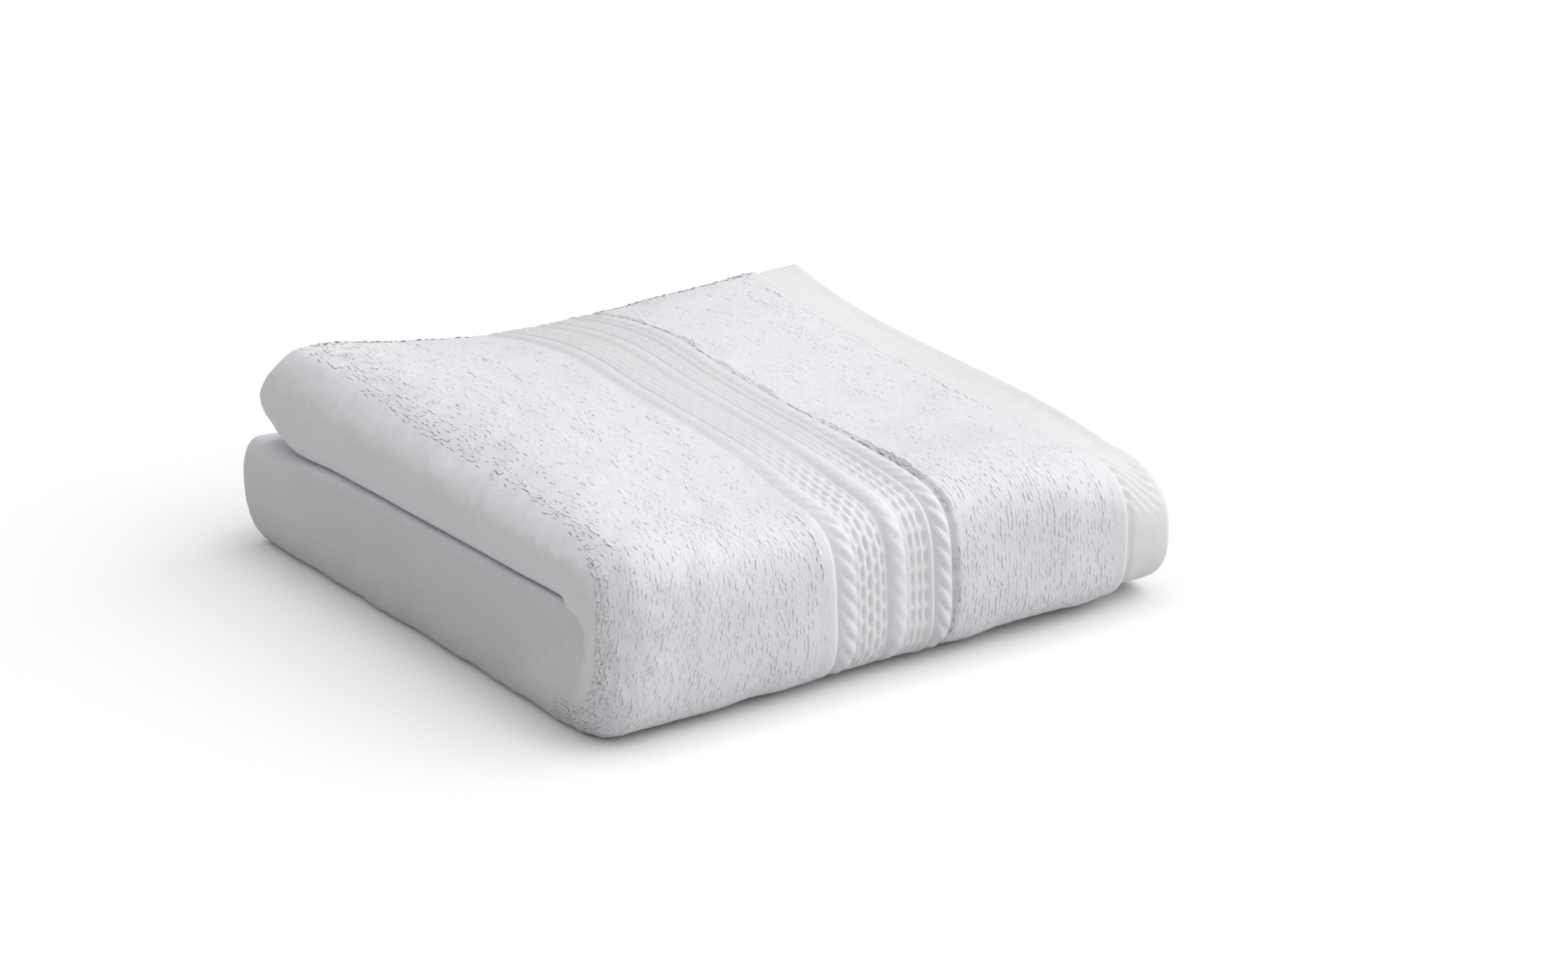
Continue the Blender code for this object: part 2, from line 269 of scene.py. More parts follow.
# Distance down the cloth: over the top, round the roll and back underneath
topRun = fold["depth"] - fold["rollDepth"]
rollAngles = np.linspace(0, pi, 601)
rollCos, rollSin = fullCurve(rollAngles, fold["rollSquareness"])
rollSteps = np.hypot(np.diff(rollCos) * fold["rollHeight"] / 2, np.diff(rollSin) * fold["rollDepth"])
rollLengths = np.concatenate([[0.0], np.cumsum(rollSteps)])
rollEnd = topRun + float(rollLengths[-1])
wholeRun = rollEnd + topRun


def rollAngle(t):
    return np.interp(t - topRun, rollLengths, rollAngles)


def upperness(t):
    return (1 + np.cos(rollAngle(t))) / 2


def topHeight(x, y):
    share = (y - fold["rollDepth"]) / topRun
    shares = [row[0] for row in fold["heights"]]
    columns = [throughFour(shares, [row[c] for row in fold["heights"]], share) for c in range(1, 5)]
    return throughFour(fold["across"], columns, x)


def layerThickness(span):
    return np.minimum(fold["terry"], (span - fold["leastGap"]) / 2)


def edgeInset(t):  # the two back edges are rounded over their last millimetres
    near = np.clip(1 - np.minimum(t, wholeRun - t) / fold["edgeReach"], 0, 1)
    return fold["edgeRounding"] * (1 - np.sqrt(1 - near ** 2))


corner = np.array([0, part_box("washcloth")[0].y, 0])  # the solid's front, from which the cloth is laid out

# The soft step where the upper fold overlaps the lower one and goes on round the roll's end
crease = {
    "step": 0.9,
    "trough": 0.15,
    "width": 1.3,
    "outwards": 0.35,  # share of the step that the upper fold stands out
    "line": (  # place from front to back, height, strength
        (150.0, 28.0, 0.3),
        (121.0, 30.3, 0.8),
        (100.0, 30.9, 1.0),
        (50.0, 31.9, 1.0),
        (23.0, 32.6, 1.0),
        (14.0, 31.0, 1.0),
        (11.0, 27.5, 1.0),
        (10.8, 21.7, 0.8),
        (13.5, 13.0, 0.5),
        (17.0, 4.0, 0.25),
    ),
}


def besideCrease(points):  # distance past the crease, and the crease's strength there
    y, z = points[:, 1] / mm - corner[1] / mm + fold["frontmost"], points[:, 2] / mm
    best, signed, strength = np.full(y.shape, 1e9), np.zeros(y.shape), np.zeros(y.shape)
    for (y0, z0, s0), (y1, z1, s1) in zip(crease["line"], crease["line"][1:]):
        dy, dz = y1 - y0, z1 - z0
        along = np.clip(((y - y0) * dy + (z - z0) * dz) / (dy * dy + dz * dz), 0, 1)
        away = np.hypot(y - y0 - along * dy, z - z0 - along * dz)
        side = np.sign((z - z0) * dy - (y - y0) * dz)
        near = away < best
        best = np.where(near, away, best)
        signed = np.where(near, side * away, signed)
        strength = np.where(near, s0 + (s1 - s0) * along, strength)
    return signed, strength


def creaseInset(points):  # how far the fold's end moves inwards at each point
    past, strength = besideCrease(points)
    step = crease["step"] * (smoothStep(-crease["width"], crease["width"], past) - crease["outwards"])
    return strength * (step + crease["trough"] * np.exp(-(past / crease["width"]) ** 2))


def placeCloth(x, depthOf, t):
    angle = rollAngle(t)
    onTop, under = t <= topRun, t >= rollEnd
    frontSpan = fold["rollDepth"] - fold["coreDepth"]
    front = depthOf(frontSpan)
    inwards = np.clip(front / frontSpan, 0, None)
    edge = np.where(onTop, readTable(fold["backEdges"], x, 1), readTable(fold["backEdges"], x, 2))
    back = fold["depth"] + fold["innerReach"] * inwards + edge
    share = np.where(onTop, t, wholeRun - t) / topRun
    y = np.where(onTop | under, back + (fold["rollDepth"] - back) * share, fold["rollDepth"])
    height = topHeight(x, y) - fold["shoulderDrop"] * np.clip(1 - x / fold["shoulderReach"], 0, 1) ** 2
    lower = readTable(fold["creaseHeights"], y) / height
    lower = 0.5 + (lower - 0.5) * np.clip(1 - x / fold["creaseReach"], 0, None)
    above = height - depthOf(height * (1 - lower) - fold["middleGap"] / 2)
    below = depthOf(height * lower - fold["middleGap"] / 2)
    atHem = smoothStep(*fold["hemFrom"], x)
    outer = fold["rollSquareness"] + (fold["hemSquareness"] - fold["rollSquareness"]) * atHem
    squareness = outer - (outer - fold["coreSquareness"]) * inwards
    c, s = fullCurve(angle, squareness)
    y = np.where(onTop | under, y, fold["rollDepth"] - (fold["rollDepth"] - front) * s)
    z = np.where(onTop, above, np.where(under, below, (above + below) / 2 + (above - below) / 2 * c))
    return np.stack([x - fold["width"] / 2, y - fold["frontmost"], z], -1) * mm + corner


def besideFold(x, t):
    return x + fold["upperSetback"] * upperness(t) * np.clip(1 - x / fold["setbackReach"], 0, None)


def insideBorder(x, into, out):
    start, end = border["start"], borderEnd
    return smoothStep(start + into[0], start + into[1], x) * smoothStep(end + out[0], end + out[1], x)


def borderDrift(x, t):  # the border wanders a little and takes the terry beside it along
    far, near = border["driftReach"]
    return readTable(border["drift"], t) * insideBorder(x, (-far, -near), (far, near))


def pucker(x, t):  # short diagonal pleats where the hem goes round the roll, and slow swells
    wave = (t - hem["puckerLean"] * (x - hem["start"])) / hem["puckerPitch"]
    wave = wave + hem["puckerWander"] * softNoise(0.3 + 0 * t, t / hem["wanderSize"], seed=11)
    reach = np.exp(-((t - hem["puckerAt"]) / hem["puckerReach"]) ** 4)
    pleat = hem["puckerRise"] * reach * np.cos(2 * pi * wave)
    swell = hem["swellRise"] * softNoise(x / hem["swellSize"][0], t / hem["swellSize"][1], seed=21)
    swell = swell * np.clip(upperness(t) / hem["swellFade"], 0, 1)
    return pleat + swell


def roundRoll(t):  # strongest where the cloth goes round the roll
    return smoothStep(*border["crispFrom"], t) * smoothStep(*border["crispUntil"], t)


def fadedAway(share, t):  # all of it round the roll, the given share elsewhere
    return share + (1 - share) * roundRoll(t)


def borderRise(x, t):  # how high the border's weave stands above its own ground
    height = np.zeros_like(x)
    at = border["start"]
    crisp = fadedAway(border["topCrisp"], t)
    for kind, width, columns, stagger, strength in border["bands"]:
        share = np.clip((x - at) / width, 0, 1)
        arch = np.sin(pi * share)
        if kind == "groove":
            own = -border["groove"] * strength * arch * fadedAway(border["topGroove"], t)
        elif kind == "ridge":
            own = border["ridge"][0] + border["ridge"][1] * arch
        elif kind == "cable":
            turn = (t - border["lean"] * (x - at)) / border["pitch"] + stagger
            strand = np.abs(2 * (turn - np.floor(turn)) - 1) ** 3
            rise = border["cableRise"] * fadedAway(border["topCable"], t)
            rise = rise - border["strandDip"] * strength * strand * crisp
            own = arch ** 0.6 * rise - border["cableSink"]
        else:
            column = np.clip(np.floor(share * columns), 0, columns - 1)
            beside = (share * columns - column - 0.5) * width / columns
            turn = (t + border["slitLean"] * beside) / border["pitch"] + stagger * (column % 2)
            along = (turn - np.floor(turn) - 0.5) * border["pitch"]
            slit = np.exp(-(beside / border["slitWidth"]) ** 2 - (along / border["slitLength"]) ** 6)
            own = border["ribRise"] - border["slitDepth"] * strength * slit * crisp
        height = np.where((x >= at) & (x < at + width), own, height)
        at += width
    return height


def frontShare(t):  # 0 on the top, 1 on the front of the roll
    return smoothStep(*terry["frontRange"], t)


def pileHeight(x, t):  # longest on the front and the left shoulder, short on top, none in the folds
    sooner = terry["frontSooner"] * smoothStep(*terry["soonerReach"], x)
    front = smoothStep(*terry["frontFrom"], t + sooner) * smoothStep(*terry["frontUntil"], rollEnd - t)
    past = x - fold["bulge"]
    shoulder = np.exp(-(past / terry["shoulderWidth"]) ** 2) * smoothStep(*terry["shoulderFrom"], t)
    height = terry["topPile"] + (terry["shoulderPile"] - terry["topPile"]) * shoulder
    height = height + (terry["frontPile"] - height) * front
    height = height * smoothStep(*terry["foldReach"], past + terry["frontWrap"] * frontShare(t))
    nearLip = smoothStep(*terry["lipFrom"], x - border["start"]) * (x < borderEnd)
    height = height * (1 - nearLip * (terry["lipFade"] + (1 - terry["lipFade"]) * frontShare(t)))
    return height * (1 - terry["hemFade"] * smoothStep(*terry["hemFrom"], x - hem["start"]))


def aboveFloor(x, t):  # no relief on the side that lies on the floor
    before, after = terry["flatFrom"]
    under = smoothStep(rollEnd - before, rollEnd + after, t)
    return 1 - under * smoothStep(fold["bulge"] - terry["flatAcross"], fold["bulge"], x)


def faceRecess(x, t):  # how far the visible face lies below the tips of the loops
    ground = terry["groundDepth"] + pileHeight(x, t) * terry["groundShare"]
    wall = smoothStep(*terry["wallFrom"], x - fold["bulge"])
    above = aboveFloor(x, t)
    for rise, size, seed, onWall in terry["relief"]:
        ground = ground - rise * softNoise(x / size, t / size, seed) * above * (wall if onWall else 1)
    lip = smoothStep(*terry["lipEdge"], x - border["start"]) * (x < borderEnd) * frontShare(t)
    terryDepth = ground * (1 - lip) + terry["lipDepth"] * lip
    inBorder = insideBorder(x, border["edgeIn"], border["edgeOut"])
    recess = border["topRecess"] + (border["recess"] - border["topRecess"]) * roundRoll(t)
    recess = recess * (1 - border["ease"] * smoothStep(border["start"] + border["easeFrom"], borderEnd, x))
    return terryDepth * (1 - inBorder) + (recess - borderRise(x, t) * above) * inBorder


def hemEdge(x):  # the hem's outer edge is a rounded nose
    past = np.clip((x - (fold["width"] - hem["edge"])) / hem["edge"], 0, 1)
    return fold["hem"] / 2 * (1 - np.sqrt(1 - past ** 2))


def endInset(x, t):  # both roundings together never pass the middle of the hem
    return edgeInset(t) * (1 - hemEdge(x) / (fold["hem"] / 2))


def hemRecess(x, t, full):  # the seam's ridge, a groove beside it and the puckered hem
    past = x - hem["start"]
    crisp = hem["topCrisp"] + (1 - hem["topCrisp"]) * smoothStep(*hem["crispFrom"], t)
    ridge = hem["seamSink"] - hem["ridgeRise"] * crisp * np.exp(-(past / hem["ridgeWidth"]) ** 2)
    groove = hem["groove"] * crisp * np.exp(-((past - hem["grooveAt"]) / hem["grooveWidth"]) ** 2)
    share = smoothStep(*hem["bandFrom"], past)
    depth = ridge * (1 - share) + ((full - fold["hem"]) / 2 - hem["bandRise"] + groove) * share
    inBand = smoothStep(*hem["reliefFrom"], past) * smoothStep(*hem["reliefUntil"], fold["width"] - x)
    return depth - pucker(x, t) * inBand + hemEdge(x)


def mixColours(first, second, share):
    return np.asarray(first) * (1 - share[..., None]) + np.asarray(second) * share[..., None]


tints = {  # where one colour gives way to the next, in millimetres
    "borderIn": (-2.5, 0.0),
    "borderOut": (1.0, -0.5),
    "hemFrom": (0.8, 1.8),
    "seamWidth": 1.6,
    "seamFade": 0.6,
    # painted light on the folds' walls, from where it starts round the fold
    "wallFrom": (-12.0, -24.0),
    # painted shade on the lower fold's wall: where it starts round the fold and past the crease, its least
    # share where the crease is faint, and its fade near the floor
    "lowerFrom": (-0.5, -7.0),
    "creaseFrom": (-0.8, 1.2),
    "leastLower": 0.35,
    "floorReach": 3.0,
}


def tintAndShadeAt(x, t, points):  # colour of the cotton over the cloth, with painted light on the folds' walls and painted shade on the lower fold's wall and the border's top
    pastBulge, pastHem = x - fold["bulge"], x - hem["start"]
    inBorder = insideBorder(x, tints["borderIn"], tints["borderOut"])
    inHem = smoothStep(*tints["hemFrom"], pastHem)
    past, strength = besideCrease(points)
    # painted shade: the lower fold's wall below the crease turns darker, most where the crease is strong,
    # and not within the last millimetres above the floor
    paintedLowerShade = smoothStep(*tints["lowerFrom"], pastBulge) * smoothStep(*tints["creaseFrom"], past)
    paintedLowerShade = paintedLowerShade * (tints["leastLower"] + (1 - tints["leastLower"]) * strength)
    paintedLowerShade = paintedLowerShade * smoothStep(0, tints["floorReach"], points[:, 2] / mm)
    inSeam = np.exp(-(pastHem / tints["seamWidth"]) ** 2) * (1 - tints["seamFade"] * frontShare(t))
    # painted light: the folds' walls turn lighter than the pile on top
    wall = smoothStep(*tints["wallFrom"], pastBulge)
    tintAndShade = mixColours(mixColours(cotton["pile"], cotton["wall"], wall), cotton["hem"], inSeam)
    # painted shade: the border is darker on the top than round the roll
    tintAndShade = mixColours(tintAndShade, mixColours(cotton["shadedBorderTop"], cotton["border"], roundRoll(t)), inBorder)
    tintAndShade = mixColours(tintAndShade, cotton["hem"], inHem)
    return mixColours(tintAndShade, cotton["under"], paintedLowerShade)


def outerPoint(g, t):  # the visible face: g is a place across, and below zero it goes round the fold
    g, t = np.broadcast_arrays(np.asarray(g, float), np.asarray(t, float))
    upper = upperness(t)
    squareness = fold["upperSquareness"] * upper + fold["lowerSquareness"] * (1 - upper)
    turn = np.clip(-g / fold["girth"], 0, 1)
    angle = turn * pi
    fromBack = smoothStep(0, fold["backLipReach"], np.minimum(t, wholeRun - t))
    lip = fold["backLip"] + (fold["lip"] - fold["backLip"]) * fromBack
    squareness = squareness + (lip - squareness) * smoothStep(*fold["lipAngles"], turn)
    c, s = fullCurve(angle, squareness)
    bulge = fold["lowerBulge"] + (fold["upperBulge"] - fold["lowerBulge"]) * upper
    flat = fold["bulge"] + np.clip(g, 0, None)
    sunk = faceRecess(fold["bulge"] + g, t) * (1 - smoothStep(*fold["plainAngles"], turn))

    def depth(span):
        isHem = smoothStep(*hem["blend"], flat - hem["start"])
        own = sunk * (1 - isHem) + hemRecess(flat, t, layerThickness(span)) * isHem + endInset(flat, t)
        return np.where(g >= 0, own, span / 2 - (span / 2 - own) * c)

    spreadFlat = flat + (bulge - fold["bulge"]) * np.clip(1 - g / fold["bulgeReach"], 0, 1)
    x = np.where(g >= 0, spreadFlat, bulge * (1 - s) + sunk * s)
    points = placeCloth(besideFold(x, t) + borderDrift(x, t), depth, t)
    points[..., 0] += creaseInset(points) * smoothStep(*fold["creaseAngles"], turn) * mm
    return points


def hiddenFace(face, x, t):  # the three faces between the layers, finished plainly
    inBorder = insideBorder(x, border["hiddenEdge"], border["hiddenEdge"][::-1])
    isHem = smoothStep(*hem["hiddenBlend"], x - hem["start"])

    def depth(span):
        full = layerThickness(span)
        own = border["recess"] * inBorder + (full - fold["hem"]) / 2 * isHem + hemEdge(x) + endInset(x, t)
        return (own, full - own, span - full + own, span - own)[face]

    setback = fold["innerHemSetback"] * smoothStep(*hem["setbackFrom"], x - hem["start"]) * (face > 1)
    return placeCloth(besideFold(x, t) - setback, depth, t)


def innerBend(angle, t):
    x = fold["eye"] - (fold["eye"] - fold["terry"]) * np.sin(angle)

    def depth(span):
        gap = span - 2 * layerThickness(span)
        return span / 2 - (gap / 2 + edgeInset(t)) * np.cos(angle)

    return placeCloth(besideFold(np.full_like(t, x), t), depth, t)


sheetGrid = {  # spacing of the mesh, in millimetres
    "hem": 0.75,
    "terry": 2.0,
    "shoulder": 1.3,
    "shoulderWidth": 22.0,
    "besideBorder": 0.8,
    "besideWidth": 4.0,
    "border": 0.44,
    "fold": 1.4,
    "hidden": 12.0,
    "hiddenEdge": 2.0,
    "edgeWidth": 3.0,
    "bendSteps": 6,
    "down": 0.86,
    "downUnder": 4.0,
    "edge": 0.5,
}


def spread(stops, spacings):
    places = [np.array([stops[0]])]
    for start, end, spacing in zip(stops, stops[1:], spacings):
        count = max(1, round(abs(end - start) / spacing))
        places.append(np.linspace(start, end, count + 1)[1:])
    return np.concatenate(places)


def newObject(name, mesh, material=None):
    obj = bpy.data.objects.new(name, mesh)
    bpy.context.scene.collection.objects.link(obj)
    if material:
        mesh.materials.append(material)
    return obj


def zipChains(first, second, points):  # triangles between two lines of points, by the shorter gap
    def gap(i, j):
        return np.linalg.norm(points[first[i]] - points[second[j]])

    faces, i, j = [], 0, 0
    while i < len(first) - 1 or j < len(second) - 1:
        if j == len(second) - 1 or (i < len(first) - 1 and gap(i + 1, j) < gap(i, j + 1)):
            faces.append((first[i], first[i + 1], second[j]))
            i += 1
        else:
            faces.append((first[i], second[j + 1], second[j]))
            j += 1
    return faces


def buildSheet(material):
    grid, bulge = sheetGrid, fold["bulge"]
    start, end = border["start"] - bulge, borderEnd - bulge
    beside, near = grid["besideWidth"], grid["edgeWidth"]
    g = spread((fold["width"] - bulge, hem["start"] - bulge - near, end + beside, end,
                start, start - beside, grid["shoulderWidth"], 0, -fold["girth"]),
               (grid["hem"], grid["terry"], grid["besideBorder"], grid["border"],
                grid["besideBorder"], grid["terry"], grid["shoulder"], grid["fold"]))
    t = spread((0, fold["edgeReach"], rollEnd, wholeRun - fold["edgeReach"], wholeRun),
               (grid["edge"], grid["down"], grid["downUnder"], grid["edge"]))
    x = spread((fold["width"], hem["start"] + near, hem["start"] - near, borderEnd + near,
                borderEnd - near, border["start"] + near, border["start"] - near, fold["eye"]),
               (grid["hem"], grid["hiddenEdge"], grid["hidden"], grid["hiddenEdge"], grid["hidden"],
                grid["hiddenEdge"], grid["hidden"]))
    full = np.full_like(t, 1.0)
    visible = [outerPoint(one, t) for one in g]
    pastFold = x[::-1][x[::-1] > fold["upperBulge"] + 1]
    facing3 = [hiddenFace(3, full * one, t) for one in pastFold]
    facing2 = [hiddenFace(2, full * one, t) for one in x]
    bend = [innerBend(angle, t) for angle in np.linspace(pi, 0, grid["bendSteps"] + 2)[1:-1]]
    facing1 = [hiddenFace(1, full * one, t) for one in x[::-1]]
    lines = np.stack(visible + facing3 + facing2 + bend + facing1)
    across = np.concatenate([g + bulge, pastFold, x, np.full(len(bend), fold["eye"]), x[::-1]])
    index = np.arange(lines.shape[0] * lines.shape[1]).reshape(lines.shape[:2])
    nextLine = np.roll(index, -1, 0)
    quads = np.stack([index[:, :-1], nextLine[:, :-1], nextLine[:, 1:], index[:, 1:]], -1).reshape(-1, 4)
    faces = quads.tolist()
    outerCount = len(visible) + len(facing3)
    for stop, turned in ((0, True), (-1, False)):  # so that both ends face outwards, like the quads
        outer, inner = index[:outerCount, stop], index[outerCount:, stop][::-1]
        cap = zipChains(outer.tolist(), inner.tolist(), lines.reshape(-1, 3))
        faces += [face[::-1] for face in cap] if turned else cap
    mesh = bpy.data.meshes.new("washclothSheet")
    mesh.from_pydata(lines.reshape(-1, 3).tolist(), [], faces)
    uv = mesh.uv_layers.new(name="cloth")
    flat = np.stack(np.broadcast_arrays(across[:, None], t[None, :]), -1).reshape(-1, 2)
    corners = np.empty(len(mesh.loops), np.int32)
    mesh.loops.foreach_get("vertex_index", corners)
    uv.data.foreach_set("uv", (flat[corners] * mm).astype(np.float32).ravel())
    tintAndShade = mesh.attributes.new("tintAndShade", "FLOAT_VECTOR", "POINT")
    colours = tintAndShadeAt(flat[:, 0], flat[:, 1], lines.reshape(-1, 3))
    tintAndShade.data.foreach_set("vector", colours.astype(np.float32).ravel())
    mesh.shade_smooth()
    return newObject("washclothSheet", mesh, material)


# Materials

cotton = {
    "pile": (0.765, 0.765, 0.795),
    # painted light: the folds' shaded walls are coloured lighter than the pile on top
    "wall": (0.84, 0.84, 0.87),
    # painted shade: the lower fold's wall is coloured darker below the crease
    "under": (0.72, 0.72, 0.748),
    # painted shade: the border is coloured darker on the top than round the roll
    "shadedBorderTop": (0.69, 0.69, 0.714),
    "border": (0.79, 0.79, 0.815),
    "hem": (0.76, 0.76, 0.755),
    "roughness": 0.95,
    "sheen": 0.15,
    "sheenRoughness": 0.6,
    "specular": 0.25,
    "bumpDepth": 0.3,
    "patchShare": 0.6,
    "patchSize": 90.0,
    "fibreSize": 900.0,
    "fibreDetail": 3,
    "fuzzRange": (0.5, 1.1),
    "pileFuzz": (0.05, 0.15),  # how much it dims the colour, bump
    "groundFuzz": (0.06, 0.3),
}


def makeFuzzGroup():
    group = bpy.data.node_groups.new("cottonFuzz", "ShaderNodeTree")
    for label, kind, value in (("Colour", "NodeSocketColor", (0.8, 0.8, 0.8, 1)),
                               ("Depth", "NodeSocketFloat", 0.1),
                               ("Fibre Size", "NodeSocketFloat", cotton["fibreSize"]),
                               ("Patch Size", "NodeSocketFloat", cotton["patchSize"])):
        socket = group.interface.new_socket(label, in_out="INPUT", socket_type=kind)
        socket.default_value = value
    group.interface.new_socket("Colour", in_out="OUTPUT", socket_type="NodeSocketColor")
    group.interface.new_socket("Height", in_out="OUTPUT", socket_type="NodeSocketFloat")
    nodes, links = group.nodes, group.links
    given, result = nodes.new("NodeGroupInput"), nodes.new("NodeGroupOutput")
    coords = nodes.new("ShaderNodeTexCoord")
    fibre, patch = nodes.new("ShaderNodeTexNoise"), nodes.new("ShaderNodeTexNoise")
    fibre.inputs["Detail"].default_value = cotton["fibreDetail"]
    for noise, label in ((fibre, "Fibre Size"), (patch, "Patch Size")):
        links.new(coords.outputs["Object"], noise.inputs["Vector"])
        links.new(given.outputs[label], noise.inputs["Scale"])
    total = nodes.new("ShaderNodeMath")
    total.operation = "MULTIPLY_ADD"
    total.inputs[1].default_value = cotton["patchShare"]
    links.new(patch.outputs["Fac"], total.inputs[0])
    links.new(fibre.outputs["Fac"], total.inputs[2])
    shade = nodes.new("ShaderNodeMapRange")
    shade.inputs["From Min"].default_value, shade.inputs["From Max"].default_value = cotton["fuzzRange"]
    links.new(total.outputs[0], shade.inputs["Value"])
    links.new(given.outputs["Depth"], shade.inputs["To Max"])
    dim = nodes.new("ShaderNodeHueSaturation")
    less = nodes.new("ShaderNodeMath")
    less.operation = "SUBTRACT"
    less.inputs[0].default_value = 1.0
    links.new(shade.outputs[0], less.inputs[1])
    links.new(less.outputs[0], dim.inputs["Value"])
    links.new(given.outputs["Colour"], dim.inputs["Color"])
    links.new(dim.outputs["Color"], result.inputs["Colour"])
    links.new(fibre.outputs["Fac"], result.inputs["Height"])
    return group


def makeCotton(name, group, depth, bump, calm=""):  # calm names the field that evens out the shading
    material = bpy.data.materials.new(name)
    material.use_nodes = True
    nodes, links = material.node_tree.nodes, material.node_tree.links
    shader = nodes["Principled BSDF"]
    shader.inputs["Roughness"].default_value = cotton["roughness"]
    shader.inputs["Specular IOR Level"].default_value = cotton["specular"]
    shader.inputs["Sheen Weight"].default_value = cotton["sheen"]
    shader.inputs["Sheen Roughness"].default_value = cotton["sheenRoughness"]
    fuzz = nodes.new("ShaderNodeGroup")
    fuzz.node_tree = group
    tintAndShade = nodes.new("ShaderNodeAttribute")
    tintAndShade.attribute_name = "tintAndShade"
    links.new(tintAndShade.outputs["Color"], fuzz.inputs["Colour"])
    fuzz.inputs["Depth"].default_value = depth
    raised = nodes.new("ShaderNodeBump")
    raised.inputs["Strength"].default_value = bump
    raised.inputs["Distance"].default_value = cotton["bumpDepth"] * mm
    links.new(fuzz.outputs["Height"], raised.inputs["Height"])
    if calm:
        cloth, own = nodes.new("ShaderNodeAttribute"), nodes.new("ShaderNodeNewGeometry")
        both, even = nodes.new("ShaderNodeVectorMath"), nodes.new("ShaderNodeVectorMath")
        cloth.attribute_name = calm
        even.operation = "NORMALIZE"
        links.new(cloth.outputs["Vector"], both.inputs[0])
        links.new(own.outputs["Normal"], both.inputs[1])
        links.new(both.outputs[0], even.inputs[0])
        links.new(even.outputs[0], raised.inputs["Normal"])
    links.new(raised.outputs["Normal"], shader.inputs["Normal"])
    links.new(fuzz.outputs["Colour"], shader.inputs["Base Color"])
    return material


# Geometry Nodes


def makeTree(name, sockets):
    tree = bpy.data.node_groups.new(name, "GeometryNodeTree")
    tree.is_modifier = True
    tree.interface.new_socket("Geometry", in_out="INPUT", socket_type="NodeSocketGeometry")
    tree.interface.new_socket("Geometry", in_out="OUTPUT", socket_type="NodeSocketGeometry")
    for label, kind, value in sockets:
        socket = tree.interface.new_socket(label, in_out="INPUT", socket_type=kind)
        if value is not None:
            socket.default_value = value
    return tree, tree.nodes.new("NodeGroupInput"), tree.nodes.new("NodeGroupOutput")


def namedField(tree, name, kind):
    field = tree.nodes.new("GeometryNodeInputNamedAttribute")
    field.data_type = kind
    field.inputs["Name"].default_value = name
    return field.outputs["Attribute"]


def layInstances(tree, given, result, shape):  # places the shape along each point's facing and lay
    nodes, links = tree.nodes, tree.links
    turn = nodes.new("FunctionNodeAxesToRotation")
    turn.primary_axis, turn.secondary_axis = "Z", "X"
    links.new(namedField(tree, "facing", "FLOAT_VECTOR"), turn.inputs["Primary Axis"])
    links.new(namedField(tree, "lay", "FLOAT_VECTOR"), turn.inputs["Secondary Axis"])
    spreads = nodes.new("FunctionNodeRandomValue")
    spreads.data_type = "FLOAT_VECTOR"
    negative = nodes.new("ShaderNodeVectorMath")
    negative.operation = "SCALE"
    negative.inputs["Scale"].default_value = -1.0
    links.new(given.outputs["Turn Spread"], negative.inputs[0])
    links.new(negative.outputs[0], spreads.inputs["Min"])
    links.new(given.outputs["Turn Spread"], spreads.inputs["Max"])
    links.new(given.outputs["Seed"], spreads.inputs["Seed"])
    euler = nodes.new("FunctionNodeEulerToRotation")
    links.new(spreads.outputs["Value"], euler.inputs[0])
    turned = nodes.new("FunctionNodeRotateRotation")
    turned.rotation_space = "LOCAL"
    links.new(turn.outputs[0], turned.inputs[0])
    links.new(euler.outputs[0], turned.inputs[1])
    sizes = nodes.new("FunctionNodeRandomValue")
    sizes.data_type = "FLOAT"
    links.new(given.outputs["Least Size"], sizes.inputs[2])
    links.new(given.outputs["Greatest Size"], sizes.inputs[3])
    links.new(given.outputs["Seed"], sizes.inputs["Seed"])
    scaled = nodes.new("ShaderNodeVectorMath")
    scaled.operation = "SCALE"
    links.new(namedField(tree, "size", "FLOAT_VECTOR"), scaled.inputs[0])
    links.new(sizes.outputs[1], scaled.inputs["Scale"])
    instances = nodes.new("GeometryNodeInstanceOnPoints")
    links.new(given.outputs["Geometry"], instances.inputs["Points"])
    links.new(shape, instances.inputs["Instance"])
    links.new(turned.outputs[0], instances.inputs["Rotation"])
    links.new(scaled.outputs[0], instances.inputs["Scale"])
    real = nodes.new("GeometryNodeRealizeInstances")
    smooth = nodes.new("GeometryNodeSetShadeSmooth")
    finish = nodes.new("GeometryNodeSetMaterial")
    links.new(instances.outputs[0], real.inputs[0])
    links.new(real.outputs[0], smooth.inputs[0])
    links.new(smooth.outputs[0], finish.inputs[0])
    links.new(given.outputs["Material"], finish.inputs["Material"])
    links.new(finish.outputs[0], result.inputs[0])


spreadSockets = (
    ("Turn Spread", "NodeSocketVector", (0.0, 0.0, 0.0)),
    ("Least Size", "NodeSocketFloat", 1.0),
    ("Greatest Size", "NodeSocketFloat", 1.0),
    ("Seed", "NodeSocketInt", 1),
    ("Material", "NodeSocketMaterial", None),
)


